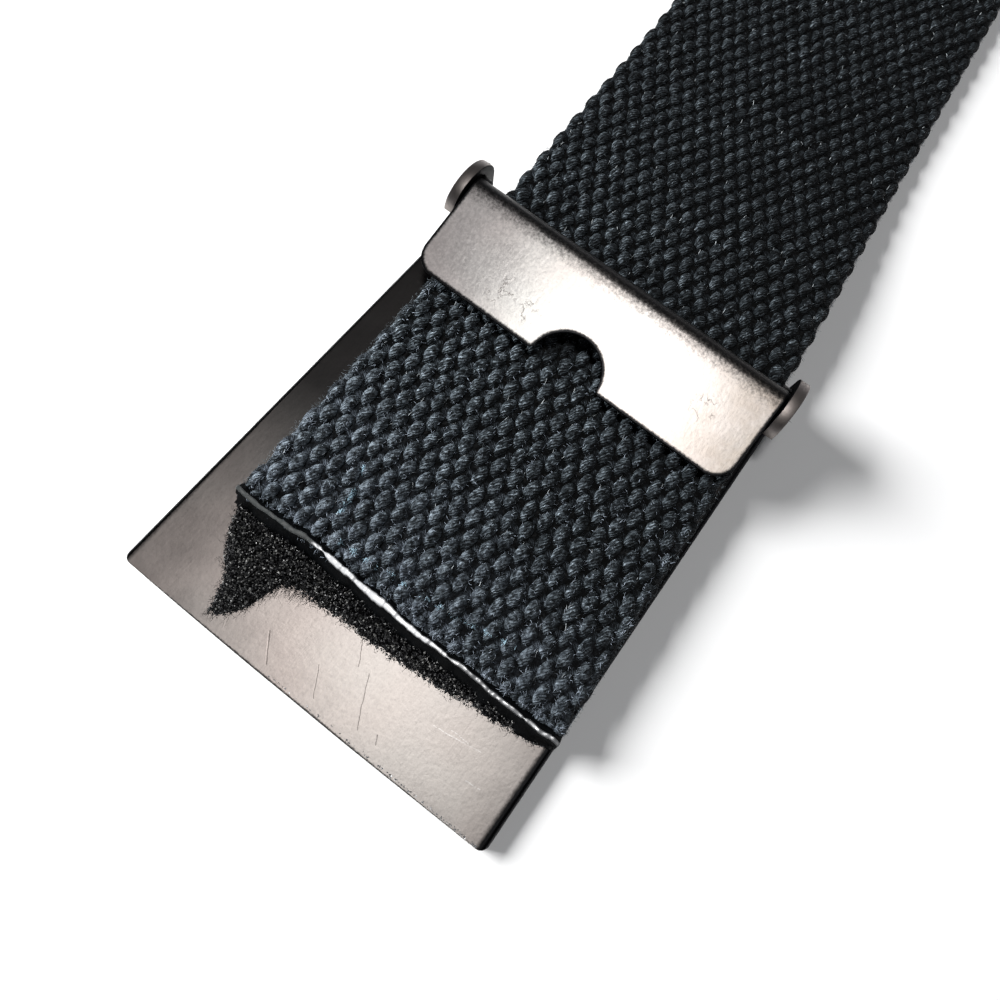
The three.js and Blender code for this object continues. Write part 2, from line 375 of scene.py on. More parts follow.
def noise(vector, scale, detail=3.0, roughness=0.6, distortion=0.0):
    inputs = {"Vector": vector, "Scale": scale, "Detail": detail, "Roughness": roughness,
              "Distortion": distortion}
    return add(tree_of(vector), "ShaderNodeTexNoise", inputs).outputs["Fac"]


def stretched(vector, scale, turn=0.0):
    """Coordinates turned about Z and stretched."""
    inputs = {"Vector": vector, "Rotation": (0, 0, turn), "Scale": scale}
    return add(tree_of(vector), "ShaderNodeMapping", inputs).outputs[0]


def new_material(name):
    """A material with its tree, its shader, and the place on the piece."""
    material = bpy.data.materials.new(name)
    material.use_nodes = True
    tree = material.node_tree
    tree.nodes.clear()
    shader = add(tree, "ShaderNodeBsdfPrincipled")
    output = add(tree, "ShaderNodeOutputMaterial")
    tree.links.new(shader.outputs[0], output.inputs[0])
    position = add(tree, "ShaderNodeTexCoord").outputs["Object"]
    return material, tree, shader, position


def flattened(position):
    """The place in plan, at no height."""
    return vector_math("MULTIPLY", position, (1, 1, 0))[0]


def segment_mask(position, start, end, width):
    """1 on the straight line between two plan points in millimetres, 0 further than width."""
    start, end = (Vector((*p, 0)) * MM for p in (start, end))
    run = end - start
    away, _ = vector_math("SUBTRACT", flattened(position), start)
    _, dot = vector_math("DOT_PRODUCT", away, run)
    share = divided(dot, run.length_squared, clamp=True)
    along = add(tree_of(share), "ShaderNodeVectorMath", {0: run, "Scale": share},
                operation="SCALE")
    _, apart = vector_math("DISTANCE", away, along.outputs[0])
    near = divided(apart, width * MM)
    return minus(1.0, near, clamp=True)


def bump(height, distance, strength=1.0, normal=None):
    inputs = {"Height": height, "Distance": distance * MM, "Strength": strength}
    if normal is not None:
        inputs["Normal"] = normal
    return add(tree_of(height), "ShaderNodeBump", inputs).outputs[0]


BRUSH_TURN = math.radians(38.6)
SCRATCH_WANDER = 0.5
# Start, end and half width of each scratch; middle and radius of each pitted patch
PLATE_SCRATCHES = [
    ((-24.7, 6.0), (-27.1, 4.3), 0.1), ((-24.3, 0.5), (-26.8, -1.1), 0.06),
    ((-22.3, -3.6), (-26.5, -6.0), 0.06), ((-25.8, -7.7), (-26.5, -8.1), 0.07),
    ((-20.0, -1.1), (-22.3, -2.5), 0.05),
]
BRIGHT_SCRATCHES = [
    ((-22.2, -11.2), (-21.4, -16.0), 0.06), ((-24.1, -16.4), (-23.9, -17.9), 0.08),
    ((-21.5, -12.8), (-21.5, -15.6), 0.05),
]
LEVER_PITS = [((16.0, 10.2), 2.4), ((15.9, 6.6), 1.9), ((18.2, -14.0), 2.0)]


def rim_distance(position, low, high, corner):
    """Distance in metres inwards from the outline of a rounded plan rectangle, in millimetres."""
    low, high = Vector((*low, 0)) * MM, Vector((*high, 0)) * MM
    inner = (high - low) / 2 - Vector((corner, corner, 0)) * MM
    away, _ = vector_math("SUBTRACT", position, (low + high) / 2)
    away, _ = vector_math("ABSOLUTE", away)
    past = split(vector_math("SUBTRACT", away, inner)[0])
    over_x, over_y = most(past[0], 0.0), most(past[1], 0.0)
    reach = root(plus(power(over_x, 2.0), power(over_y, 2.0)))
    within = least(most(past[0], past[1]), 0.0)
    reach = plus(reach, within)
    return minus(corner * MM, reach)


def circle_distance(position, centre, radius):
    """Distance in metres outwards from a circle in plan, in millimetres."""
    centre = Vector((*centre, 0)) * MM
    _, apart = vector_math("DISTANCE", flattened(position), centre)
    return minus(apart, radius * MM)


def fade(value, start, end, low=0.0, high=1.0):
    """From low to high while the value, in metres, goes from start to end, in millimetres."""
    return add(tree_of(value), "ShaderNodeMapRange", {
        "Value": value, "From Min": start * MM, "From Max": end * MM, "To Min": low,
        "To Max": high}, interpolation_type="SMOOTHSTEP").outputs[0]


def contour(value, level, width):
    """1 where the value crosses a level, 0 further off than the width."""
    off = absolute(minus(value, level))
    return minus(1.0, divided(off, width), clamp=True)


def steel(name, light, dark, rough, painted_black_mask, shade_and_stain_tone, pits=(), scratches=(), bright=()):
    """Worn plated steel: fine brushing, blotches, painted shade for the highlight's falloff (and on
    the lever stains), and near-black painted shade and dark reflections where their masks say so.
    Pits lie in round spots, and scratches run between two places."""
    material, tree, shader, position = new_material(name)
    brushed = stretched(position, (250, 5200, 2500), -BRUSH_TURN)
    lines = noise(brushed, 1.0, roughness=0.65)
    grain = noise(position, 3600.0, roughness=0.7)
    blotch = noise(position, 160.0, detail=4.0, distortion=0.6)
    soft = noise(position, 45.0, detail=2.0)
    base = mix(ramp(blotch, [(0.35, 0.0), (0.7, 1.0)]), dark, light)
    warm = ramp(soft, [(0.4, (1.0, 0.98, 0.955)), (0.62, (1.0, 0.925, 0.895))])
    base = tinted(base, warm)
    streak = ramp(lines, [(0.3, 0.92), (0.7, 1.0)])
    base = tinted(base, streak)
    speck = ramp(grain, [(0.3, 0.84), (0.5, 1.0)])
    base = tinted(base, speck, 0.8)
    hammered = noise(position, 1700.0, detail=2.0, roughness=0.5)
    # Painted shade: greyer where the highlight falls off, and on the lever also stains
    base = tinted(base, shade_and_stain_tone(position, soft))
    height = scaled(lines, 0.6, times(grain, 0.8))
    height = scaled(hammered, 1.4, height)
    normal = bump(height, 0.012, 0.5)
    # Painted shade and dark reflections, laid in as near-black
    black = painted_black_mask(position, grain)
    base = mix(black, base, (0.018, 0.018, 0.019))
    worn = None
    for centre, radius in pits:
        spot = minus(0.0, circle_distance(position, centre, radius))
        spot = fade(spot, 0, radius * 0.6)
        patchy = noise(position, 480.0, detail=4.0)
        islands = ramp(noise(position, 1300.0), [(0.62, 0.0), (0.68, 0.6)])
        dots = most(contour(patchy, 0.52, 0.014), islands)
        mask = times(spot, dots)
        worn = mask if worn is None else most(worn, mask)
    wobble = add(tree, "ShaderNodeTexNoise", {"Vector": position, "Scale": 500.0})
    shift, _ = vector_math("SUBTRACT", wobble.outputs["Color"], (0.5, 0.5, 0.5))
    bent, _ = vector_math("MULTIPLY_ADD", shift, (SCRATCH_WANDER * MM,) * 2 + (0.0,), position)
    for start, end, width in scratches:
        mask = segment_mask(bent, start, end, width)
        worn = mask if worn is None else most(worn, mask)
    base = mix(times(worn, 0.7), base, (0.2, 0.165, 0.15))
    for start, end, width in bright:
        mask = segment_mask(bent, start, end, width)
        broken = times(mask, ramp(grain, [(0.4, 0.0), (0.55, 0.8)]))
        base = mix(broken, base, (1.0, 0.97, 0.94))
    normal = bump(minus(1.0, worn), 0.012, 0.5, normal)
    connect(shader, {"Base Color": base, "Normal": normal, "Metallic": 1.0,
                     "Roughness": scaled(blotch, 0.14, rough)})
    return material


def plate_painted_dark(position, grain):
    """Painted black: dark reflections along the plate's rounded long rims and on its ears' side
    faces, and painted shade more and more towards the lever; the bare edge is darkened too.
    """
    part = split(position)
    rough_rim = scaled(grain, 0.25 * MM, -0.12 * MM)
    sides = minus(plate_high[1] * MM, absolute(part[1]))
    wider = fade(part[1], 0, -1, 0.0, -0.3 * MM)
    sides = plus(sides, wider)
    # Painted dark reflection along the rounded long rims
    side_rim_painted_dark = fade(plus(sides, rough_rim), 0.4, 1.0, 1.0, 0.0)
    bare = minus(part[0], plate_low[0] * MM)
    bare_rim = fade(plus(bare, rough_rim), 0.12, 0.3, 0.9, 0.0)
    # On the ears the side faces get painted dark reflection, their rims less of it
    facing = split(position.node.outputs["Normal"])
    faces = ramp(absolute(facing[1]), [(0.35, 0.5), (0.8, 0.97)])
    ears = fade(part[2], SHEET + 0.1, SHEET + 0.6)
    # Painted shade and dark reflection, more and more towards the lever
    under = fade(part[0], -27, -2, 0.0, 0.93)
    black = most(most(side_rim_painted_dark, bare_rim), under)
    return mix(ears, black, faces)


def plate_painted_falloff(position, soft):
    """The plate goes greyer towards its left side, and a little towards its right corner: painted
    shade for the falloff of the overhead highlight.
    """
    part = split(position)
    side = scaled(soft, 5.0 * MM, part[1])
    left = fade(side, 8, 22, 0.0, 0.35)
    right = fade(side, -12, -20, 0.0, 0.12)
    both = plus(left, right)
    return mix(both, (1.0, 1.0, 1.0), (0.3, 0.32, 0.34))


def lever_falloff_and_stains(position, soft):
    """Partly painted shade: grey and bluish at the lever's left end, where the highlight falls off,
    with speckles there, and beige stains towards its right one.
    """
    part = split(position)
    side = scaled(soft, 6.0 * MM, part[1])
    # Painted shade for the highlight's falloff, with a bluish tint
    left = fade(side, 8, 22, 0.0, 0.4)
    grey = mix(left, (1.0, 1.0, 1.0), (0.3, 0.32, 0.385))
    stipple = ramp(noise(position, 2600.0), [(0.42, 1.0), (0.6, 0.0)])
    stipple = times(stipple, fade(side, 4, 18, 0.0, 0.5))
    grey = mix(stipple, grey, (0.5, 0.5, 0.52))
    spots = ramp(noise(position, 340.0, detail=4.0, roughness=0.65),
                 [(0.4, 0.35), (0.62, 1.0)])
    right = fade(side, -5, -17, 0.0, 0.6)
    beige = mix(times(right, spots), (1.0, 1.0, 1.0), (0.62, 0.55, 0.46))
    return tinted(grey, beige)


LEVER_THUMB = 13.0
LEVER_SIDE = 20.0
LEVER_CORNER = 2.5
NOTCH_RADIUS = 4.0
UNDER_LEVER = 3.38


def lever_painted_dark(position, grain):
    """Painted black: dark reflection along the lever's rims, and painted shade over the bend at its
    hinge.
    """
    box = rim_distance(position, (LEVER_THUMB, -LEVER_SIDE), (60, LEVER_SIDE), LEVER_CORNER)
    notch = circle_distance(position, (LEVER_THUMB, 0), NOTCH_RADIUS)
    edge = least(box, notch)
    edge = plus(edge, scaled(grain, 0.3 * MM, -0.15 * MM))
    # Painted dark reflection along the lever's rims
    rim = fade(edge, 0.2, 0.5, 1.0, 0.0)
    place = split(position)[0]
    stipple = noise(position, 3000.0, roughness=0.75)
    ragged = plus(place, scaled(stipple, 3.6 * MM, -1.8 * MM))
    # Painted shade over the bend, where the lever turns down away from the light
    bend = fade(ragged, 21.6, 24.2, 0.0, 0.94)
    return most(rim, bend)


def yarn_material(name, dark, light):
    """Hard twisted yarn: strands that wind round it, with painted glints of uneven brightness on
    their crests, dustier near the sealed end."""
    material, tree, shader, position = new_material(name)
    uv = add(tree, "ShaderNodeUVMap", uv_map="yarn").outputs[0]
    part = split(uv)
    place = split(position)
    tone = add(tree, "ShaderNodeAttribute", attribute_name="tone").outputs["Fac"]
    # A strand winds round the yarn, so it is a slanted line of the yarn's unrolled surface
    slant = scaled(part[0], -1.0 / TWIST_LENGTH, part[1])
    wobble = noise(position, 1300.0, detail=2.0)
    turns = scaled(slant, float(STRANDS), scaled(wobble, 2.6, -1.3))
    wave = sine(times(turns, 2 * math.pi))
    crest = scaled(wave, 0.5, 0.5)
    strand = floored(turns)
    along = scaled(part[0], 1.5, times(tone, 90.0))
    own = add(tree, "ShaderNodeCombineXYZ", {
        0: times(strand, 3.7), 1: along, 2: tone}).outputs[0]
    glint = ramp(noise(own, 1.0, detail=1.0), [(0.42, 0.05), (0.6, 1.0)])
    fine = add(tree, "ShaderNodeCombineXYZ", {
        0: times(slant, 60.0), 1: along, 2: tone}).outputs[0]
    filament = noise(fine, 1.0, detail=2.0)
    mottle = noise(position, 420.0)
    grit = noise(position, 2600.0, roughness=0.7)
    # Painted highlights: the strands' crests take the light colour as glints
    stroke = times(power(crest, 3.2), glint)
    stroke = times(stroke, ramp(grit, [(0.36, 0.1), (0.56, 1.0)]))
    near_cut = fade(scaled(place[1], -0.3, place[0]), CUT_X - 2, CUT_X + 20, 1.0, 0.0)
    felt = ramp(noise(position, 1500.0, detail=5.0, roughness=0.75),
                [(0.42, 0.0), (0.68, 0.75)])
    felted = scaled(near_cut, 0.5, 0.25)
    stroke = mix(felted, stroke, felt)
    shade = mix(stroke, dark, light)
    shade = tinted(shade, ramp(filament, [(0.3, 0.5), (0.65, 1.3)]))
    shade = tinted(shade, ramp(mottle, [(0.3, 0.6), (0.7, 1.3)]))
    # Darker towards the far end and towards the -y edge, lighter near the cut and towards the +y
    # edge
    lengthwise = fade(place[0], CUT_X, 64, 1.35, 0.46)
    sideways = fade(place[1], -19, 19, 0.72, 1.3)
    far_and_side_tone = times(lengthwise, sideways)
    shade = tinted(shade, far_and_side_tone)
    dust = times(near_cut, ramp(mottle, [(0.35, 0.1), (0.7, 1.0)]))
    shade = mix(times(dust, 0.6), shade, (0.095, 0.112, 0.138))
    patch = noise(position, 1700.0, detail=4.0, roughness=0.7)
    shade = tinted(shade, ramp(patch, [(0.42, 0.22), (0.6, 1.4)]))
    shine = ramp(stroke, [(0.1, 0.9), (0.7, 0.42)])
    height = scaled(filament, 0.25, crest)
    height = scaled(grit, 1.2, height)
    connect(shader, {"Base Color": shade, "Normal": bump(height, 0.09, 0.9),
                     "Roughness": shine, "Specular IOR Level": 0.4})
    return material


def fibre_material(name, dark, light, rough, specular, painted_sparkle=None, index=1.5):
    material, tree, shader, position = new_material(name)
    tone = add(tree, "ShaderNodeAttribute", attribute_name="tone").outputs["Fac"]
    # A few threads and grains take the painted sparkle colour
    stops = [(0.0, dark), (0.8, light)] + ([(0.95, painted_sparkle)] if painted_sparkle else [])
    grain = noise(position, 9000.0, detail=2.0)
    connect(shader, {
        "Base Color": ramp(tone, stops), "Normal": bump(grain, 0.02, 0.6),
        "Roughness": rough, "Specular IOR Level": specular, "IOR": index})
    return material


def lip_material():
    """The melted lip: glossy black where it ran together, dull and greenish at its left end, with a
    painted white highlight along its crown.
    """
    material, tree, shader, position = new_material("melted_lip")
    place = split(position)[1]
    blobs = noise(position, 1100.0)
    ragged = scaled(blobs, 3.0 * MM, place)
    dull = fade(ragged, 8.4, 9.6)
    colour = mix(dull, (0.003, 0.0035, 0.004), (0.012, 0.016, 0.0155))
    # The crown, where it faces up, gets a painted white highlight
    facing = split(position.node.outputs["Normal"])
    crown = ramp(facing[2], [(0.86, 0.0), (0.98, 1.0)])
    strength = fade(ragged, -8.0, -3.0, 0.25, 0.7)
    strength = times(strength, minus(1.0, dull))
    painted_highlight = times(crown, strength)
    colour = mix(painted_highlight, colour, (0.85, 0.86, 0.88))
    rough = scaled(dull, 0.3, scaled(blobs, 0.16, 0.24))
    connect(shader, {"Base Color": colour, "Roughness": rough, "IOR": 2.1,
                     "Normal": bump(blobs, 0.03, 0.4), "Specular IOR Level": 1.0})
    return material


def melt_material():
    """Melted and set again: black, smooth and glossy, with fine bubbles and grit."""
    material, tree, shader, position = new_material("melted_web")
    blobs = noise(position, 900.0)
    grit = noise(position, 4200.0, detail=2.0)
    colour = ramp(blobs, [(0.3, (0.0006, 0.0007, 0.0008)), (0.8, (0.0025, 0.003, 0.0035))])
    height = scaled(grit, 0.25, blobs)
    rough = ramp(blobs, [(0.4, 0.4), (0.7, 0.55)])
    connect(shader, {"Base Color": colour, "Normal": bump(height, 0.03, 0.4),
                     "Roughness": rough, "Specular IOR Level": 0.12})
    return material


def steel_chip_material():
    """Bare bright steel."""
    material, tree, shader, position = new_material("bright_burr")
    grain = noise(position, 5000.0, detail=2.0)
    connect(shader, {"Base Color": ramp(grain, [(0.3, 0.5), (0.6, 0.95)]),
                     "Metallic": 1.0, "Roughness": 0.4})
    return material


def floor_material():
    material, tree, shader, position = new_material("pale_floor")
    tint = ramp(noise(position, 6.0), [(0.3, 0.93), (0.7, 0.95)])
    connect(shader, {"Base Color": tint, "Roughness": 0.9, "Specular IOR Level": 0.1})
    return material


# Metal pieces

def machined(node, name, width, material):
    """A solid of the frame with its sheared edges eased, as a piece of its own."""
    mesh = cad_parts[node].data.copy()
    mesh.name = name
    work = bmesh.new()
    work.from_mesh(mesh)
    bmesh.ops.remove_doubles(work, verts=work.verts, dist=1e-7)
    bmesh.ops.dissolve_limit(work, angle_limit=math.radians(0.6), verts=work.verts,
                             edges=work.edges)
    work.to_mesh(mesh)
    work.free()
    mesh.materials.clear()
    mesh.materials.append(material)
    raw = linked(name, mesh)
    ease = raw.modifiers.new("ease", "BEVEL")
    ease.width = width * MM
    ease.segments = 3
    ease.limit_method = "ANGLE"
    ease.angle_limit = math.radians(32)
    ease.use_clamp_overlap = False
    ease.miter_outer = "MITER_ARC"
    level = raw.modifiers.new("level", "WEIGHTED_NORMAL")
    level.keep_sharp = False
    for polygon in mesh.polygons:
        polygon.use_smooth = True
    bpy.context.view_layer.update()
    depsgraph = bpy.context.evaluated_depsgraph_get()
    made = bpy.data.meshes.new_from_object(raw.evaluated_get(depsgraph))
    raw.modifiers.clear()
    raw.data = made
    return raw


# The woven strap

def unit(vectors, spare=0.0):
    """Each row brought to length 1; spare keeps a row of noughts from being divided by 0."""
    return vectors / (np.linalg.norm(vectors, axis=1)[:, None] + spare)


def warp_yarn(index, rng):
    across = (index - (WARP_COUNT - 1) / 2) * WARP_PITCH
    start = float(cut_place(across)) + 0.25
    step = PICK_PITCH / WARP_STEPS_PER_PICK
    x = np.arange(start, END_X - 0.2, step)
    swing = float_swing(x, index)
    out = np.abs(swing) ** 1.5
    uneven = 1 + 0.1 * wander(x, 4.0, rng)
    height = WAVE * swing * (1 + 0.1 * wander(x, 4.0, rng))
    sway = 0.1 * wander(x, 4.0, rng)
    edge_yarn = min(index, WARP_COUNT - 1 - index) < 1
    swell = FLOAT_HALF_WIDTH - CROSSING_HALF_WIDTH
    half_width = (CROSSING_HALF_WIDTH + (0.45 if edge_yarn else 1.0) * swell * out) * uneven
    if edge_yarn:
        height, half_width = 0.45 * height, 0.5 * uneven
    sealed = np.clip(1 - (x - start) / 1.5, 0, 1) ** 1.5
    height = height * (1 - sealed) + 0.22 * sealed
    half_thick = CROSSING_HALF_THICKNESS + (FLOAT_HALF_THICKNESS - CROSSING_HALF_THICKNESS) * out
    line = on_strap(x, across + sway, height)
    ahead = unit(np.gradient(line, axis=0))
    aside = unit(np.cross([0.0, 0.0, 1.0], ahead))
    up = np.cross(ahead, aside)
    start_angle = rng.uniform(0, 2 * math.pi)

    def relief(length, angle):
        turn = angle - 2 * math.pi * length / TWIST_LENGTH + start_angle
        return 1 + PLY_RELIEF * (np.abs(np.cos(PLIES * turn / 2)) - 0.6)

    return tube(line, aside, up, half_width, half_thick, WARP_SIDES, relief, rng.uniform(0, 1))


def weft_line():
    """The one weft thread: across, round the edge, and back, from end to end of the strap."""
    picks = int((END_X - CUT_X - 1.2) / PICK_PITCH)
    edge = (WARP_COUNT - 1) / 2 * WARP_PITCH
    x, across, height = [], [], []
    for pick in range(picks):
        place = CUT_X + 0.6 + (pick + 0.5) * PICK_PITCH
        side = 1 if pick % 2 == 0 else -1
        for i in range(WARP_COUNT):
            index = i if side > 0 else WARP_COUNT - 1 - i
            over = math.cos(math.pi * ((place - CUT_X) / PICK_PITCH + index))
            x.append(place)
            across.append((index - (WARP_COUNT - 1) / 2) * WARP_PITCH)
            height.append(-0.22 * math.tanh(2 * over))
        for bend in (0.12, 0.3, 0.5, 0.7, 0.88):
            x.append(place + PICK_PITCH * (0.5 - 0.5 * math.cos(math.pi * bend)))
            across.append(side * (edge + 0.42 * math.sin(math.pi * bend) ** 0.7))
            height.append(0.0)
    return on_strap(x, across, height)


def weft(material):
    line = weft_line()
    up = np.tile([0.0, 0.0, 1.0], (len(line), 1))
    aside = unit(np.cross(up, unit(np.gradient(line, axis=0))))
    width = np.full(len(line), WEFT_HALF_WIDTH)
    thick = np.full(len(line), WEFT_HALF_THICKNESS)
    made = tube(line, aside, up, width, thick, WEFT_SIDES, None, 0.5)
    return joined_tubes("web_weft", [made], WEFT_SIDES, material)


def swept_bead(name, rings, material, **more):
    """A closed bead through the rings of points."""
    n, sides = np.shape(rings)[:2]
    ends = cap_faces(0, sides, False) + cap_faces((n - 1) * sides, sides, True)
    faces = np.concatenate([ring_quads(n, sides, turned=True), ends])
    return mesh_object(name, np.reshape(rings, (-1, 3)), faces, material, **more)


def core(material):
    """The stuffer layer in the middle of the web, seen only between the yarns; its near-black
    colour is painted shade there.
    """
    x = np.linspace(CUT_X + 0.9, END_X - 0.4, 70)
    rings = on_strap(x[:, None], np.array([-18.4, 18.4, 18.4, -18.4]),
                     np.array([0.16, 0.16, -0.16, -0.16]))
    faces = (len(x) - 1) * 4 + 2
    return swept_bead("web_core", rings, material, smooth=False, uv=np.zeros((faces * 4, 2)),
                      attributes={"tone": np.zeros(len(x) * 4)})


def on_cut(a, section):
    """A section's points, lengthwise and up, put in place so far across the strap."""
    points = np.array(section)
    y, _ = strap_line(points[:, 0])
    return np.stack([points[:, 0], y + a, points[:, 1]], -1)


SEAL_COLUMNS = np.linspace(-STRAP_WIDTH / 2 - 0.1, STRAP_WIDTH / 2 + 0.1, 300)
SEAL_TOP = SHEET + REST_GAP + STRAP_THICKNESS


def seal_line():
    """The melted lip's sideways wander and height for each column across the strap."""
    rng = np.random.default_rng(5)
    wave = ripple(SEAL_COLUMNS, rng, (0.16, 7.0), (0.05, 1.6))
    lift = ripple(SEAL_COLUMNS, rng, (0.06, 5.0), (0.04, 0.9))
    share = SEAL_COLUMNS / (STRAP_WIDTH / 2)
    round_off = np.sqrt(np.clip(1 - np.clip((np.abs(share) - 0.95) / 0.06, 0, 1) ** 2, 0, 1))
    return cut_place(SEAL_COLUMNS) + wave, SEAL_TOP + (0.12 + lift) * round_off, round_off


def sealed_end(material):
    """The melted face under the lip, which ran down on to the plate in front of the cut."""
    rng = np.random.default_rng(7)
    foot = ripple(SEAL_COLUMNS, rng, (0.2, 4.0), (0.1, 1.1))
    place, top, round_off = seal_line()
    low = SHEET + 0.06
    rings = []
    for a, x, lip, whole, out in zip(SEAL_COLUMNS, place, top, round_off, foot):
        share = a / (STRAP_WIDTH / 2)
        reach = 1.6 - 0.2 * max(share, 0) ** 2 - 0.6 * max(-share, 0) ** 2 + out
        reach *= 0.35 + 0.65 * whole
        shoulder = low + (lip - low) * 0.8
        rings.append(on_cut(a, [
            (x + 0.95, low + 0.3), (x - reach * 0.6, low + 0.02), (x - reach, low),
            (x - reach * 1.05, low + 0.14), (x - reach * 0.9, low + 0.4 * whole),
            (x - reach * 0.62, low + 0.8 * whole), (x - 0.5, shoulder - 0.3),
            (x - 0.3, shoulder), (x - 0.12, lip - 0.2), (x + 0.1, lip - 0.14),
            (x + 0.3, lip - 0.24), (x + 0.5, lip - 0.42), (x + 0.75, lip - 0.7),
            (x + 0.95, low + 1.0 * whole)]))
    return swept_bead("sealed_end", rings, material)


# Middle and half width of each break in the lip, sideways
LIP_BREAKS = [(-6.6, 0.25), (-15.2, 0.2), (8.6, 0.3)]
# Section of the lip, lengthwise in half widths, and of the far end, up in half thicknesses
LIP_SECTION = [(-1.0, -0.2), (-0.96, -0.06), (-0.84, -0.008), (-0.42, 0.008), (0.0, 0.012),
               (0.42, 0.008), (0.84, -0.008), (0.96, -0.06), (1.0, -0.2), (0.5, -0.3),
               (0.0, -0.32), (-0.5, -0.3)]
FAR_SECTION = [(-0.9, 0.7), (-0.3, 1.06), (0.0, 1.02), (0.16, 0.7), (0.2, 0.0), (0.16, -0.6),
               (0.0, -0.92), (-0.9, -0.8)]


def sealed_lip(material):
    """The raised bead along the sealed end's top: flat-crowned, uneven and broken in places."""
    rng = np.random.default_rng(9)
    swell = 1 + ripple(SEAL_COLUMNS, rng, (0.22, 3.0), (0.12, 0.8))
    tilt = ripple(SEAL_COLUMNS, rng, (0.022, 2.4), (0.012, 0.7))
    place, top, round_off = seal_line()
    rings = []
    for a, x, lip, whole, big, lean in zip(SEAL_COLUMNS, place, top, round_off, swell, tilt):
        for middle, width in LIP_BREAKS:
            big *= 1 - 0.7 * math.exp(-(((a - middle) / width) ** 2))
        wide = 0.27 * max(big, 0.15) * (0.8 + 0.55 * math.exp(-(((a - 2.5) / 6) ** 2)))
        crown = lip + 0.02 + 0.1 * big * whole
        rings.append(on_cut(a, [(x + wide * p, crown + q + lean * p) for p, q in LIP_SECTION]))
    return swept_bead("sealed_lip", rings, material)


def far_end(material):
    """The strap's other cut end: a plain melted edge."""
    rng = np.random.default_rng(6)
    columns = np.linspace(-STRAP_WIDTH / 2, STRAP_WIDTH / 2, 150)
    x, height = np.transpose(FAR_SECTION)
    rings = []
    for a, wave in zip(columns, 0.08 * wander(columns, 5.0, rng)):
        share = abs(a) / (STRAP_WIDTH / 2)
        half = STRAP_THICKNESS / 2 * math.sqrt(max(0.02, 1 - max(0, (share - 0.95) / 0.06) ** 2))
        rings.append(on_strap(END_X - 0.2 + wave + x, a, np.maximum(half * height, -0.88)))
    return swept_bead("far_sealed_end", rings, material)


# Loose fibres and lint

def fibres(name, roots, headings, lengths, radius, curl, material, rng):
    """Thin three-sided threads from the roots along the headings, bending at random."""
    steps, sides = 3, 3
    line = np.repeat(roots[:, None, :], steps, axis=1)
    heading = unit(headings)
    for s in range(1, steps):
        line[:, s] = line[:, s - 1] + heading * (lengths / (steps - 1))[:, None]
        heading = unit(heading + curl * rng.normal(size=heading.shape))
    count = len(roots)
    side = unit(np.cross(headings, rng.normal(size=(count, 3))), 1e-9)
    other = unit(np.cross(headings, side), 1e-9)
    taper = np.array([1.0, 0.95, 0.5])
    angle = np.arange(sides) / sides * 2 * math.pi
    ring = side[:, None, None, :] * np.cos(angle)[None, None, :, None]
    ring = ring + other[:, None, None, :] * np.sin(angle)[None, None, :, None]
    points = line[:, :, None, :] + ring * (radius * taper)[None, :, None, None]
    first = np.arange(count) * steps * sides
    last = first + (steps - 1) * sides
    quads = (ring_quads(steps, sides) + first[:, None, None]).reshape(-1, 4)
    tris = np.concatenate([
        quads[:, [0, 1, 2]], quads[:, [0, 2, 3]],
        np.stack([first, first + 2, first + 1], -1), np.stack([last, last + 1, last + 2], -1)])
    tone = np.repeat(rng.uniform(0, 1, count), steps * sides)
    return mesh_object(name, points.reshape(-1, 3), tris, material, attributes={"tone": tone})


# The lint's front edge on the plate: sideways place, and reach from the plate's bare edge. The
# lobe that trails off towards the bare edge is part of it.
LINT_EDGE = [
    (17.2, 11.2), (16.4, 9.9), (15.6, 7.8), (13.8, 5.3), (13.0, 4.7), (12.3, 3.3), (12.0, 2.1),
    (11.6, 1.0), (11.0, 1.2), (10.1, 1.9), (9.1, 3.5), (8.6, 5.2), (8.1, 6.9), (6.4, 7.6),
    (4.1, 7.6), (1.2, 7.9), (-1.4, 7.8), (-4.2, 8.0), (-6.9, 8.3), (-9.7, 8.5), (-12.8, 9.1),
    (-15.4, 9.2), (-17.9, 9.6), (-20.4, 10.1),
]
LINT_BACK = 10.5


def lint_front(sideways):
    """Lengthwise place of the lint's front edge at the sideways places."""
    edge = np.array(LINT_EDGE)[::-1]
    return BARE_EDGE + np.interp(sideways, edge[:, 0], edge[:, 1])


def lint_places(count, jitter, rng):
    """Random places over the lint, and how deep each lies behind its front edge."""
    low, high = LINT_EDGE[-1][0], LINT_EDGE[0][0]
    back = BARE_EDGE + LINT_BACK
    y = rng.uniform(low, high, count * 3)
    x = rng.uniform(BARE_EDGE, back, count * 3)
    inside = x > lint_front(y)
    x, y = x[inside][:count], y[inside][:count]
    depth = np.clip((x - lint_front(y)) / 1.2, 0, 1)
    x = x + jitter * rng.normal(size=len(x))
    y = y + jitter * rng.normal(size=len(y))
    return np.maximum(x, BARE_EDGE + 0.4), y, depth


def grains(name, centres, radii, material, rng):
    """Small eight-faced grains, each squashed and turned its own way."""
    corner = np.array([(1, 0, 0), (-1, 0, 0), (0, 1, 0), (0, -1, 0), (0, 0, 1), (0, 0, -1)], float)
    face = np.array([(0, 2, 4), (2, 1, 4), (1, 3, 4), (3, 0, 4),
                     (2, 0, 5), (1, 2, 5), (3, 1, 5), (0, 3, 5)])
    count = len(centres)
    shape = corner[None] * rng.uniform(0.6, 1.3, (count, 1, 3))
    turn = np.linalg.qr(rng.normal(size=(count, 3, 3)))[0]
    turn *= np.sign(np.linalg.det(turn))[:, None, None]
    points = centres[:, None, :] + (shape @ turn) * radii[:, None, None]
    faces = (face[None] + np.arange(count)[:, None, None] * 6).reshape(-1, 3)
    tone = np.repeat(rng.uniform(0, 1, count), 6)
    return mesh_object(name, points.reshape(-1, 3), faces, material, smooth=False,
                       attributes={"tone": tone})


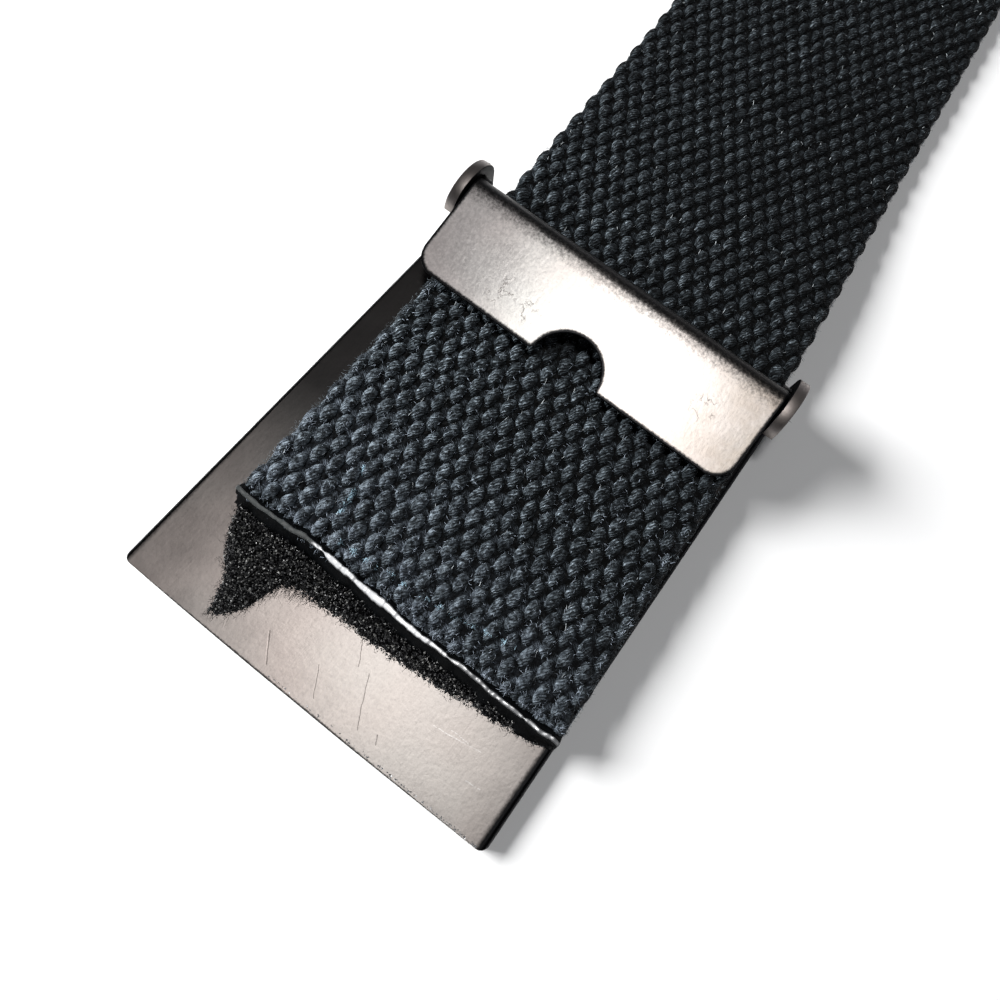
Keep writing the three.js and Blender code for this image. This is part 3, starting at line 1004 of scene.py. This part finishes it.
def lint(thread_material, mat_material, grain_material):
    """The matted lint on the plate in front of the sealed end."""
    rng = np.random.default_rng(11)
    x, y, depth = lint_places(LINT_THREADS, 0.17, rng)
    z = SHEET + 0.05 + rng.uniform(0, 1, len(x)) * (0.15 + 0.6 * depth)
    turn = rng.uniform(0, 2 * math.pi, len(x))
    headings = np.stack([np.cos(turn), np.sin(turn), 0.3 * rng.normal(size=len(x))], -1)
    lengths = rng.uniform(0.15, 0.75, len(x))
    threads = fibres("lint_threads", np.stack([x, y, z], -1), headings, lengths, 0.014, 0.6,
                     thread_material, rng)
    x, y, depth = lint_places(LINT_GRAINS, 0.06, rng)
    z = SHEET + 0.12 + depth * rng.uniform(0.35, 0.8, len(x))
    lumps = grains("lint_grains", np.stack([x, y, z], -1), rng.uniform(0.04, 0.14, len(x)),
                   grain_material, rng)
    y = np.concatenate([rng.uniform(4.8, 9.4, LINT_HAIRS), rng.uniform(9.0, 14.0, LOBE_HAIRS)])
    x = lint_front(y) + rng.uniform(-0.1, 0.5, len(y))
    x = np.maximum(x, BARE_EDGE + 0.5)
    turn = rng.normal(0, 0.5, len(y)) + math.pi
    headings = np.stack([np.cos(turn), np.sin(turn), 0.05 * rng.normal(size=len(y))], -1)
    lengths = np.minimum(rng.uniform(0.4, 1.6, len(y)), x - BARE_EDGE - 0.3)
    root = np.stack([x, y, np.full(len(y), SHEET + 0.06)], -1)
    hairs = fibres("lint_hairs", root, headings, lengths, 0.009, 0.3, thread_material, rng)
    for piece in (threads, lumps, hairs):
        clamp_heights(piece, LINT_FLOOR)
    return [threads, lumps, hairs, lint_mat(mat_material, rng)]


def clamp_heights(piece, lowest, highest=None):
    """Keeps a piece's points above one height, and where highest says so, below another."""
    co = np.empty(len(piece.data.vertices) * 3, np.float32)
    piece.data.vertices.foreach_get("co", co)
    co = co.reshape(-1, 3)
    if highest is not None:
        co[:, 2] = np.minimum(co[:, 2], highest(co[:, 0] / MM) * MM)
    co[:, 2] = np.maximum(co[:, 2], lowest * MM)
    piece.data.vertices.foreach_set("co", co.ravel())
    piece.data.update()


def lint_mat(material, rng):
    """The dense low part of the lint, as one lumpy closed pad."""
    columns, rows = 260, 26
    low, high = LINT_EDGE[-1][0], LINT_EDGE[0][0]
    across = np.linspace(low + 0.1, high - 0.1, columns)
    rough_edge = ripple(across, rng, (0.2, 2.2), (0.14, 0.7))
    front = np.maximum(lint_front(across) + 0.22 + rough_edge, BARE_EDGE + 0.5)
    back = np.full(columns, BARE_EDGE + LINT_BACK)
    front = np.minimum(front, back - 0.3)
    t = np.linspace(0, 1, rows)
    x = front[:, None] + (back - front)[:, None] * t[None, :]
    lump = rng.uniform(0.25, 1.0, (columns, rows))
    ends = np.clip(np.minimum(np.arange(columns), np.arange(columns)[::-1]) / 8, 0, 1)
    height = 0.7 * np.sin(np.clip(t * 1.25, 0, 1) * math.pi * 0.5)[None, :] * lump * ends[:, None]
    y = np.repeat(across[:, None], rows, 1)
    upper = np.stack([x, y, SHEET + 0.05 + height], -1)
    lower = np.stack([x, y, np.full_like(x, SHEET + 0.03)], -1)
    i, k = np.meshgrid(np.arange(columns - 1), np.arange(rows - 1), indexing="ij")
    a, b = i * rows + k, (i + 1) * rows + k
    top = np.stack([a, a + 1, b + 1, b], -1).reshape(-1, 4)
    offset = columns * rows
    under = top[:, ::-1] + offset
    walls = []
    for j in range(rows - 1):
        walls.append([j, j + offset, j + 1 + offset, j + 1])
        far = (columns - 1) * rows + j
        walls.append([far, far + 1, far + 1 + offset, far + offset])
    for j in range(columns - 1):
        near, after = j * rows, (j + 1) * rows
        walls.append([near, after, after + offset, near + offset])
        near, after = near + rows - 1, after + rows - 1
        walls.append([near, near + offset, after + offset, after])
    faces = np.concatenate([top, under, np.array(walls)])[:, ::-1]
    points = np.concatenate([upper.reshape(-1, 3), lower.reshape(-1, 3)])
    tone = np.tile(rng.uniform(0, 0.6, columns * rows), 2)
    return mesh_object("lint_mat", points, faces, material, smooth=False,
                       attributes={"tone": tone})


def on_web(name, x, across, sink, headings, lengths, radius, curl, material, rng):
    """Threads rooted in the yarns' upper surface, low enough to pass under the lever."""
    roots = on_strap(x, across, web_top(x, across) - sink)
    piece = fibres(name, roots, headings, lengths, radius, curl, material, rng)

    def below_lever(place):
        under = (place > LEVER_THUMB - 1) & (place < FAR_EDGE + 1)
        return np.where(under, UNDER_LEVER, np.inf)

    clamp_heights(piece, OFF_FLOOR, below_lever)
    return piece


def surface_fuzz(near_material, far_material, glint_material):
    """Short fibre ends that stand off the yarns, most of them near the sealed end."""
    rng = np.random.default_rng(17)
    count = NEAR_FUZZ
    half = STRAP_WIDTH / 2 - 0.2
    x = CUT_X + 0.2 + 36 * rng.uniform(0, 1, count) ** 1.7
    across = rng.uniform(-half, half, count)
    headings = rng.normal(size=(count, 3)) * (1, 1, 0.35)
    near = on_web("web_fuzz_near", x, across, 0.03, headings, rng.uniform(0.2, 0.7, count),
                  0.024, 0.7, near_material, rng)
    count = FUZZ
    x = rng.uniform(CUT_X + 6, END_X - 0.6, count)
    across = rng.uniform(-half, half, count)
    headings = rng.normal(size=(count, 3)) * (1, 1, 0.3)
    all_over = on_web("web_fuzz", x, across, 0.03, headings, rng.uniform(0.15, 0.5, count),
                      0.018, 0.6, far_material, rng)
    # Light threads along the warp between the floats: painted glints
    count = GLINTS
    x = rng.uniform(CUT_X + 1, END_X - 1, count)
    across = (rng.integers(0, WARP_COUNT - 1, count) + 0.5 - (WARP_COUNT - 1) / 2) * WARP_PITCH
    headings = np.stack([np.ones(count), 0.3 * rng.normal(size=count),
                         0.2 * rng.normal(size=count)], -1)
    glints = on_web("web_glints", x, across, 0.08, headings, rng.uniform(0.35, 0.8, count),
                    0.035, 0.15, glint_material, rng)
    return [near, all_over, glints]


def pale_marks(material):
    """Chalky fibres along the marks on the web."""
    rng = np.random.default_rng(23)
    places = []
    for mark in PALE_MARKS:
        line = np.array(mark)
        t = rng.uniform(0, len(line) - 1, PALE_FIBRES)
        if len(line) > 4:
            t = np.floor(t * 3) / 3 + 0.16 * rng.uniform(0, 1, PALE_FIBRES)
        steps = np.arange(len(line))
        spread = 0.11 * rng.normal(size=(PALE_FIBRES, 2))
        places.append(np.stack([np.interp(t, steps, line[:, 0]), np.interp(t, steps, line[:, 1])],
                               -1) + spread)
    places = np.concatenate(places)
    y, _ = strap_line(places[:, 0])
    headings = rng.normal(size=(len(places), 3)) * (1, 1, 0.2)
    return on_web("pale_marks", places[:, 0], places[:, 1] - y, 0.0, headings,
                  rng.uniform(0.1, 0.4, len(places)), 0.032, 0.5, material, rng)


def edge_fuzz(material):
    """Fibre ends along the woven edges."""
    rng = np.random.default_rng(19)
    count = EDGE_FUZZ
    x = CUT_X + 0.3 + (END_X - CUT_X - 0.8) * rng.uniform(0, 1, count) ** 1.6
    side = rng.choice([-1.0, 1.0], count)
    roots = on_strap(x, side * (STRAP_WIDTH / 2 + 0.05), rng.uniform(-0.4, 0.4, count))
    headings = np.stack([rng.normal(size=count), side * np.abs(rng.normal(size=count)),
                         0.5 * rng.normal(size=count)], -1)
    lengths = rng.uniform(0.15, 0.55, count)
    piece = fibres("edge_fuzz", roots, headings, lengths, 0.014, 0.4, material, rng)
    clamp_heights(piece, OFF_FLOOR)
    return piece


def edge_burr(material):
    """Bright shearing burrs along the right half of the plate's bare edge."""
    rng = np.random.default_rng(29)
    y = -20.4 + 24 * rng.uniform(0, 1, BURRS) ** 1.6
    x = BARE_EDGE + rng.uniform(0.08, 0.3, BURRS)
    centres = np.stack([x, y, np.full(BURRS, SHEET - 0.03)], -1)
    return grains("edge_burr", centres, rng.uniform(0.06, 0.13, BURRS), material, rng)


# Stage

def area_light(name, place, sides, power, reflected):
    data = bpy.data.lights.new(name, "AREA")
    data.shape = "RECTANGLE"
    data.size, data.size_y = sides
    data.energy = power
    light = linked(name, data)
    light.location = place
    aim = Vector(LIGHT_TARGET) - Vector(place)
    light.rotation_euler = aim.to_track_quat("-Z", "Y").to_euler()
    light.visible_glossy = reflected


def camera():
    azimuth, elevation, roll = map(math.radians, (VIEW_AZIMUTH, VIEW_ELEVATION, VIEW_ROLL))
    back = Vector((math.cos(elevation) * math.cos(azimuth),
                   math.cos(elevation) * math.sin(azimuth), math.sin(elevation)))
    level = Vector((0, 0, 1)).cross(back).normalized()
    lift = back.cross(level)
    right = math.cos(roll) * level + math.sin(roll) * lift
    up = math.cos(roll) * lift - math.sin(roll) * level
    data = bpy.data.cameras.new("photo_view")
    data.sensor_width = SENSOR
    data.lens = FOCAL_PIXELS / FRAME_PIXELS * SENSOR
    data.clip_start = MM
    view = linked("photo_view", data)
    turn = Matrix((right, up, back)).transposed()
    place = (Vector(VIEW_TARGET) + back * VIEW_DISTANCE) * MM
    view.matrix_world = Matrix.Translation(place) @ turn.to_4x4()
    bpy.context.scene.camera = view


def stage():
    points = np.array([(-1, -1, 0), (1, -1, 0), (1, 1, 0), (-1, 1, 0)]) * FLOOR_SIDE / 2
    points[:, 2] = -FLOOR_DROP
    floor = mesh_object("floor", points, [[0, 1, 2, 3]], floor_material(), smooth=False)
    world = bpy.data.worlds.new("studio")
    bpy.context.scene.world = world
    world.use_nodes = True
    # Pale round the horizon, for the metal's reflections from the side, and dim overhead
    tree = world.node_tree
    rise = split(add(tree, "ShaderNodeTexCoord").outputs["Generated"])[2]
    connect(tree.nodes["Background"], {0: SKY_TINT, 1: ramp(rise, SKY)})
    for name, row in LIGHTS.items():
        area_light(name, *row)
    bpy.context.scene.view_settings.view_transform = "Standard"


def main():
    camera()
    stage()
    rng = np.random.default_rng(3)
    plate = machined("buckle_plate", "plate", 0.09, steel(
        "plate_metal", *PLATE_STEEL, plate_painted_dark, plate_painted_falloff,
        scratches=PLATE_SCRATCHES, bright=BRIGHT_SCRATCHES))
    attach(plate, "belt")
    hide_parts("buckle_plate")
    lever = machined("clamp_lever", "lever", 0.1, steel(
        "lever_metal", *LEVER_STEEL, lever_painted_dark, lever_falloff_and_stains, pits=LEVER_PITS))
    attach(lever, "lever")
    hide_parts("clamp_lever")

    yarn, shaded_weft_material, shaded_core_material = (yarn_material(name, *row) for name, row in YARNS.items())
    tubes = [warp_yarn(i, rng) for i in range(WARP_COUNT)]
    web = [
        joined_tubes("web_warp_right", tubes[:13], WARP_SIDES, yarn),
        joined_tubes("web_warp_middle", tubes[13:25], WARP_SIDES, yarn),
        joined_tubes("web_warp_left", tubes[25:], WARP_SIDES, yarn),
        weft(shaded_weft_material),
        core(shaded_core_material),
    ]
    melt = melt_material()
    web += [sealed_end(melt), sealed_lip(lip_material()), far_end(melt)]
    near, far, glossy, chalky, black, grain, matted = (
        fibre_material(name, *row) for name, row in FIBRES.items())
    web += [*surface_fuzz(near, far, glossy), pale_marks(chalky), edge_fuzz(far),
            *lint(black, matted, grain)]
    for piece in web:
        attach(piece, "belt")
        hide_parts("web_strap")
    burr = edge_burr(steel_chip_material())
    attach(burr, "belt")


main()
